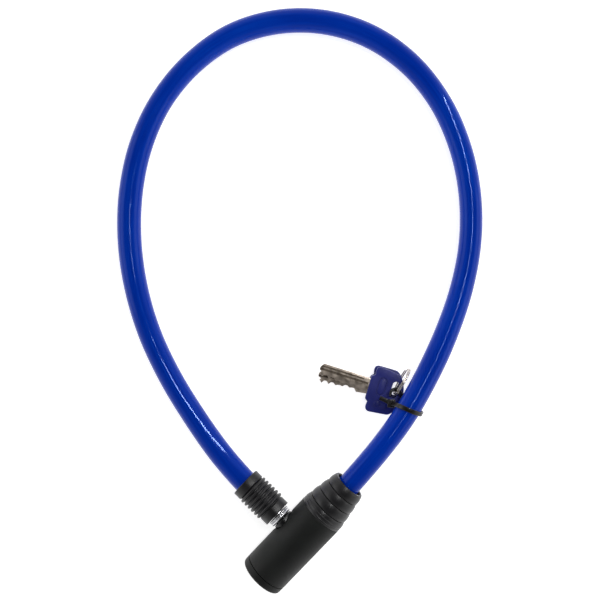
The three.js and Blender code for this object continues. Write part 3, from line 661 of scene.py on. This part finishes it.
# The bolt from its tip: chamfer, the latch's neck, shank, waist under the shoulder, hollow tail on the rope.
boltLook = {
    "radius": 4, "tip": -6.4, "neck": 2.4, "neckFrom": -4, "neckTo": -1.4, "shankEnd": 7.2,
    "waist": 3.4, "waistEnd": 12.4, "collarSeat": 4.3, "tailFrom": 16.85, "tail": 6, "tailEnd": 29,
    "ropeHole": 4.0, "ropeFloor": 18.6, "shoulder": 5.5, "ringPair": (12.6, 15.25), "ringRadius": 6.15,
}


def makeBolt():
    look = boltLook
    radius, tip, neck, waist, tail = (look[key] for key in ("radius", "tip", "neck", "waist", "tail"))
    corners = [
        (0, tip), (radius - 1.4, tip), (radius, tip + 1.4), (radius, look["neckFrom"]),
        (neck, look["neckFrom"]), (neck, look["neckTo"]), (radius, look["neckTo"]),
        (radius, look["shankEnd"]), (waist, look["shankEnd"]), (waist, look["waistEnd"]),
        (look["collarSeat"], look["waistEnd"]), (look["collarSeat"], look["tailFrom"]),
        (tail, look["tailFrom"]), (tail, look["tailEnd"]), (look["ropeHole"], look["tailEnd"]),
        (look["ropeHole"], look["ropeFloor"]), (0, look["ropeFloor"]),
    ]
    outline = roundCorners(corners, 0.25, closed=False)
    bolt = newObject("lockBolt", turnedMesh("lockBolt", outline, "Y", sides=96, closed=False), chromePlate)
    finishMesh(bolt.data, 30)
    return bolt


def makeShoulder():
    bore, wide = boltLook["waist"] + 0.1, boltLook["shoulder"]
    start, end = boltLook["shankEnd"] + 0.1, boltLook["waistEnd"] - 0.05
    corners = [(bore, start), (wide - 1.4, start), (wide, start + 1.4), (wide, end - 0.45)]
    corners += [(wide - 0.4, end), (bore, end)]
    outline = roundCorners(corners, 0.3, steps=5)
    shoulder = newObject("boltShoulder", turnedMesh("boltShoulder", outline, "Y", sides=96), glossyAbs)
    finishMesh(shoulder.data, 40)
    return shoulder


def makeCollar():
    start, end = boltLook["ringPair"]
    ring, steps = (end - start) / 4, 12
    outline = [(4.6, start), (5.2, start)]
    for i in range(2):
        centre = start + ring + 2 * ring * i
        for k in range(steps + 1):
            angle = -math.pi / 2 + math.pi * k / steps
            reach = boltLook["ringRadius"] - ring + ring * math.cos(angle)
            outline.append((reach, centre + 0.94 * ring * math.sin(angle)))
    outline += [(5.2, end), (4.6, end)]
    collar = newObject("boltCollar", turnedMesh("boltCollar", outline, "Y", sides=128), chromePlate)
    finishMesh(collar.data, 50)
    return collar


plugPieces = (
    (makePlugSleeve(), "plug_sleeve", "plug_end", "black_rubber"),
    (makeBolt(), "lock_bolt", "plug_end", "chrome"),
    (makeCollar(), "bolt_collar", "plug_end", "chrome"),
)
boltShoulder = makeShoulder()
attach(boltShoulder, "plug_end")
print("plug end made")

# ---- keys on their ring
keyLook = {
    "length": 18, "shank": 13.6, "thickness": 3.6, "bladeHalf": 11.7, "ringHalf": 10.6, "offset": 0.2,
    "slot": {"x": 0.5, "low": -6.6, "high": 2, "halfWidth": 1.75},
    "bladeLength": 26, "bladeWidth": 8, "bladeThickness": 1.8, "bladeOffset": -0.4, "tang": 7,
    "shoulder": 5.9, "cuts": (1.7, 2.4, 1.9, 2.6, 2.9), "pitch": 3, "headings": (162.7, 170.5),
    "panel": {"x": 7.2, "y": -2.1, "halfX": 2.25, "halfY": 4.7, "depth": 0.3},
    "island": {"x": 7.2, "y": -2.1, "halfX": 1.6, "halfY": 4.05, "below": 0.02},
    "boss": {"x": 7.0, "y": 6.9, "radius": 1.6, "above": 0.2},
    "mainGroove": {"depth": 0.45, "offset": 1.1, "halfWidth": 0.5, "from": 0.5},
    "edgeGroove": {"depth": 0.25, "offset": 1.3, "halfWidth": 0.4, "from": 3.2},
}


def keyFrame(number):
    origin = Matrix.Translation(joints[f"key_{number}_swing"]["pos_m"])
    turn = Matrix.Rotation(math.radians(keyLook["headings"][number - 1]), 4, "Z")
    return origin @ turn @ Matrix.Rotation(math.radians(keyLook["pitch"]), 4, "Y")


def ovalOutline(centreX, centreY, halfX, halfY, steps=12):
    straight = halfY - halfX
    points = []
    for k in range(2 * steps + 2):
        top = k <= steps
        angle = math.pi * (k if top else k - 1) / steps
        lift = straight if top else -straight
        points.append((centreX + halfX * math.cos(angle), centreY + lift + halfX * math.sin(angle)))
    return points


def headOutline():
    shank, ring = keyLook["shank"], keyLook["shank"] - keyLook["length"]
    wide, narrow = keyLook["bladeHalf"], keyLook["ringHalf"]
    half = [
        (shank, 6), (shank - 1.7, 7.0), (shank - 1.4, 8.2), (shank - 1.4, wide - 1.9),
        (shank - 1.9, wide - 0.6), (shank - 3.4, wide), (1.6, narrow + 0.1), (0.2, narrow - 0.2),
        (-1.0, narrow - 1.2), (-2.5, 7.3), (-3.6, 4.6), (-4.2, 2.2),
    ]
    full = [(x, -y) for x, y in half] + [(ring, 0)] + [(x, y) for x, y in reversed(half)]
    rounded = roundCorners(full, 0.8, steps=3)
    return [(x, y + keyLook["offset"]) for x, y in rounded]


# A height range on one face of a key: from so far under the face to so far over it.
def faceRange(side, face, under, over):
    return sorted((side * (face - under), side * (face + over)))


def makeKeyHead(number):
    place = keyFrame(number)
    near, half, middle = keyLook["shank"], keyLook["thickness"] / 2, keyLook["bladeOffset"]
    blank = plateMesh("keyHead", headOutline(), -half, half, place, bevel=0.6, segments=5)
    head = newObject(f"keyHead{number}", blank, navyAbs)
    hole = keyLook["slot"]
    across = (hole["high"] - hole["low"]) / 2
    slotOutline = ovalOutline(hole["x"], hole["low"] + across, hole["halfWidth"], across)
    tangX, tangY = (near - keyLook["tang"] - 0.3, near + 1), (middle - 4.3, middle + 4.3)
    cutters = [
        plateMesh("slot", slotOutline, -4, 4, place),
        blockMesh("tang", tangX, tangY, (-1.2, 1.2), place),
    ]
    panel, island, boss = keyLook["panel"], keyLook["island"], keyLook["boss"]
    panelOutline = ovalOutline(panel["x"], panel["y"], panel["halfX"], panel["halfY"])
    islandOutline = ovalOutline(island["x"], island["y"], island["halfX"], island["halfY"])
    bossOutline = ovalOutline(boss["x"], boss["y"], boss["radius"], boss["radius"] + 0.01)
    for side in (-1, 1):  # a blank sunk panel with a raised island
        low, high = faceRange(side, half, panel["depth"], 1)
        cutters.append(plateMesh("panel", panelOutline, low, high, place))
    combine(head, [toolPiece(m) for m in cutters], "DIFFERENCE")
    islands = []
    for side in (-1, 1):
        low, high = faceRange(side, half, 0.6, -island["below"])
        islands.append(plateMesh("island", islandOutline, low, high, place, 0.14))
        low, high = faceRange(side, half, 0.6, boss["above"])
        islands.append(plateMesh("boss", bossOutline, low, high, place, 0.18))
    combine(head, [toolPiece(m) for m in islands], "UNION")
    finishMesh(head.data, 40)
    return head


def makeKeyBlade(number):
    place = keyFrame(number)
    near, tip = keyLook["shank"], keyLook["shank"] + keyLook["bladeLength"]
    half, thick, middle = keyLook["bladeWidth"] / 2, keyLook["bladeThickness"] / 2, keyLook["bladeOffset"]
    cuts, start = keyLook["cuts"], near + keyLook["shoulder"]
    pitch = (keyLook["bladeLength"] - keyLook["shoulder"] - 2.2) / len(cuts)
    back = near - keyLook["tang"]
    outline = [(back, -half), (tip - 1.5, -half), (tip - 0.1, -half + 1.9), (tip - 0.1, -0.5)]
    outline += [(tip - 1.7, 0.2), (tip - 0.8, 0.9)]  # a notch where the groove runs out
    for i in reversed(range(len(cuts))):
        tooth, floor = start + i * pitch, half - cuts[i]
        outline.append((tooth + pitch, half - 1.5))
        outline += [(tooth + 0.7 * pitch, floor), (tooth + 0.35 * pitch, floor)]
    outline += [(start, half), (back, half)]
    outline = [(x, y + middle) for x, y in outline]
    mesh = plateMesh("keyBlade", outline, -thick, thick, place, 0.12, segments=2)
    blade = newObject(f"keyBlade{number}", mesh, nickelSilver)
    grooves = []
    for side in (-1, 1):
        main, edge = keyLook["mainGroove"], keyLook["edgeGroove"]
        lines = ((main, middle - side * main["offset"]), (edge, middle - half + edge["offset"]))
        for groove, line in lines:
            heights = faceRange(side, thick, groove["depth"], 1)
            ys = (line - groove["halfWidth"], line + groove["halfWidth"])
            grooves.append(blockMesh("groove", (near + groove["from"], tip + 1), ys, heights, place))
    # the groove faces take the darker nickel silver, as painted shade in the grooves
    combine(blade, [toolPiece(m, grooveShadeNickelSilver) for m in grooves], "DIFFERENCE")
    finishMesh(blade.data, 30)
    return blade


ringLook = {
    "middleRadius": 7.2, "wireHalfWidth": 0.33, "wireHalfHeight": 0.33, "turns": 1.9, "turnPitch": 0.8,
    "drop": 7.2, "stepsPerTurn": 96,
}


def ringFrame():
    along = Vector(joints["ring_swing"]["axis"])
    top = Vector(joints["ring_swing"]["pos_m"])
    return frameFrom(top - Vector((0, 0, ringLook["drop"] * mm)), along, Vector((0, 0, 1)).cross(along))


# A section swept along points, each with its own outward direction, and closed at both ends.
def sweptMesh(name, points, outwards, section, place):
    shape = bmesh.new()
    points = np.array(points, float)
    tangents = np.gradient(points, axis=0)
    rings = []
    for point, tangent, outward in zip(points, tangents, outwards):
        tangent = tangent / np.linalg.norm(tangent)
        side = np.cross(tangent, outward)
        side /= np.linalg.norm(side)
        out = np.cross(side, tangent)
        rings.append([shape.verts.new(point + side * a + out * b) for a, b in section])
    for first, second in zip(rings, rings[1:]):
        for k in range(len(section)):
            after = (k + 1) % len(section)
            shape.faces.new((first[k], first[after], second[after], second[k]))
    shape.faces.new(rings[0])
    shape.faces.new(rings[-1])
    bmesh.ops.recalc_face_normals(shape, faces=shape.faces)
    bmesh.ops.scale(shape, verts=shape.verts, vec=(mm, mm, mm))
    shape.transform(place)
    mesh = bpy.data.meshes.new(name)
    shape.to_mesh(mesh)
    shape.free()
    return mesh


def makeSplitRing():
    radius, steps = ringLook["middleRadius"], ringLook["stepsPerTurn"]
    count = int(ringLook["turns"] * steps)
    points, outwards = [], []
    for i in range(count + 1):
        angle = 2 * math.pi * i / steps
        across = (i / count - 0.5) * ringLook["turns"] * ringLook["turnPitch"]
        outward = (math.cos(angle), 0, math.sin(angle))
        points.append((radius * outward[0], across, radius * outward[2]))
        outwards.append(outward)
    wide, high = ringLook["wireHalfWidth"], ringLook["wireHalfHeight"]
    section = roundCorners([(-wide, -high), (wide, -high), (wide, high), (-wide, high)], 0.22, steps=3)
    mesh = sweptMesh("splitRing", points, outwards, section, ringFrame())
    ring = newObject("splitRing", mesh, nickelPlate)
    finishMesh(ring.data, 50)
    return ring


# Strap round the cable and through the ring, with its locking block and cut-off tail.
tieLook = {
    "width": 2.2, "thickness": 0.95, "reach": 7.05, "cableY": -8.3, "cableZ": 9.3,
    "startAngle": 8, "sweep": 292, "startX": -11.2, "drift": 4.2, "loopPoints": 9,
    "throughRing": [(-4.6, 0.2, 3.7), (-6.2, 2.6, 4.4), (-9.2, 2.0, 5.2)],
    "block": (-11.9, -0.2, 5.7), "blockHalf": (2.0, 1.9, 1.6), "blockTurn": 25,
    "tail": [(-12.0, 3.0, 5.7), (-12.3, 6.2, 5.4)],
}


def makeTie():
    block = Vector(tieLook["block"])
    middle = Vector((0, tieLook["cableY"], tieLook["cableZ"]))
    loop = [block]
    for share in np.linspace(0, 1, tieLook["loopPoints"]):
        angle = math.radians(tieLook["startAngle"] + tieLook["sweep"] * share)
        offset = Vector((0, math.cos(angle), math.sin(angle))) * tieLook["reach"]
        loop.append(Vector((tieLook["startX"] + tieLook["drift"] * share, 0, 0)) + middle + offset)
    loop += [Vector(point) for point in tieLook["throughRing"]]
    points = smoothRoute(loop, 0.6)[0]
    outwards = []
    for point in points:
        away = point - np.array((point[0], middle.y, middle.z))
        outwards.append(away / np.linalg.norm(away))
    wide, high = tieLook["width"] / 2, tieLook["thickness"] / 2
    section = roundCorners([(-wide, -high), (wide, -high), (wide, high), (-wide, high)], 0.25, steps=3)
    place = ringFrame()
    tie = newObject("cableTie", sweptMesh("cableTie", points, outwards, section, place), blackNylon)
    tailPoints = smoothRoute([block] + tieLook["tail"], 0.6)[0]
    tail = sweptMesh("tail", tailPoints, [(0, 0, 1)] * len(tailPoints), section, place)
    turn = Matrix.Translation(block * mm) @ Matrix.Rotation(math.radians(tieLook["blockTurn"]), 4, "Z")
    spans = [(-half, half) for half in tieLook["blockHalf"]]
    head = blockMesh("head", *spans, place @ turn, 0.35)
    combine(tie, [toolPiece(tail), toolPiece(head)], "UNION")
    finishMesh(tie.data, 40)
    return tie


keyPieces = [
    (makeSplitRing(), "split_ring", "ring_group", "chrome"),
    (makeTie(), "cable_tie", "lock_body", "black_plastic"),
]
for number in (1, 2):
    keyPieces.append((makeKeyHead(number), f"key_head_{number}", f"key_{number}", "navy_plastic"))
    keyPieces.append((makeKeyBlade(number), f"key_blade_{number}", f"key_{number}", "nickel_silver"))
print("keys made")

for piece, node, body, slotName in (*bodyPieces, *plugPieces, *keyPieces):
    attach(piece, body)
    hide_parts(node)

# ---- inner works: the solids are right as they are and take their real finishes
innerFinishes = {
    "inner_housing": zincAlloy, "cover_pin": plainSteel, "cable_crimp": plainSteel,
    "crimp_pin_upper": plainSteel, "crimp_pin_lower": plainSteel, "latch": plainSteel,
}
for i in range(1, 6):
    innerFinishes[f"wafer_{i}"] = turnedBrass
    innerFinishes[f"wafer_spring_{i}"] = plainSteel
for node, finish in innerFinishes.items():
    mesh = frame["nodes"][node].data
    mesh.materials.clear()
    mesh.materials.append(finish)

pathLength = float(np.linalg.norm(np.diff(cablePath, axis=0), axis=1).sum())
print(f"cable length {pathLength:.4f} m")

# ---- floor and light: a white light table under a tent whose top is dark
studio = {
    "floorGlow": 0.72, "floorHalf": 1500, "floorDepth": 8, "tentStrength": 1.0, "aim": (0, 0.12, 0),
    "tentTones": [(0.0, 1.0), (0.45, 0.9), (0.75, 0.25), (0.9, 0.10), (1.0, 0.08)],
    "lamps": {
        "softLeft": {"place": (-1.0, 0.25, 0.5), "size": (0.8, 0.6), "power": 1.5},
        "softRight": {"place": (1.1, 0.0, 0.5), "size": (0.8, 0.6), "power": 1.5},
        "strip": {"place": (0.35, 0.42, 0.75), "size": (0.014, 0.7), "power": 2.8},
    },
}


def makeFloor():
    span = (-studio["floorHalf"], studio["floorHalf"])
    mesh = blockMesh("floor", span, span, (-studio["floorDepth"], 0), Matrix.Identity(4))
    material, tree, surface = newMaterial("backlitWhiteAcrylic", {
        "Roughness": 0.8, "Specular IOR Level": 0.1, "Emission Color": (1, 1, 1, 1),
        "Emission Strength": studio["floorGlow"]})
    haze = addNode(tree, "ShaderNodeTexNoise", inputs={
        "Vector": patternPlace(tree), "Scale": perMetre(40), "Detail": 2.0})
    link(tree, greySteps(tree, haze.outputs["Fac"], [(0.3, 0.86), (0.7, 0.88)]), surface, "Base Color")
    newObject("floor", mesh, material)


def areaLight(name, place, size, power):
    lamp = bpy.data.lights.new(name, "AREA")
    lamp.shape, lamp.size, lamp.size_y, lamp.energy = "RECTANGLE", size[0], size[1], power
    light = bpy.data.objects.new(name, lamp)
    light.location = place
    towards = Vector(studio["aim"]) - Vector(place)
    light.rotation_euler = towards.to_track_quat("-Z", "Y").to_euler()
    bpy.context.scene.collection.objects.link(light)


def makeLight():
    world = bpy.data.worlds.new("tent")
    bpy.context.scene.world = world
    world.use_nodes = True
    tree = world.node_tree
    tree.nodes.clear()
    direction = addNode(tree, "ShaderNodeTexCoord").outputs["Generated"]
    height = addNode(tree, "ShaderNodeSeparateXYZ", inputs={"Vector": direction}).outputs["Z"]
    tone = greySteps(tree, height, studio["tentTones"])
    sky = addNode(tree, "ShaderNodeBackground", inputs={"Color": tone, "Strength": studio["tentStrength"]})
    addNode(tree, "ShaderNodeOutputWorld", inputs={"Surface": sky.outputs[0]})
    bpy.context.scene.view_settings.view_transform = "Standard"
    for name, lamp in studio["lamps"].items():
        areaLight(name, lamp["place"], lamp["size"], lamp["power"])


makeFloor()
makeLight()
print("studio lit")
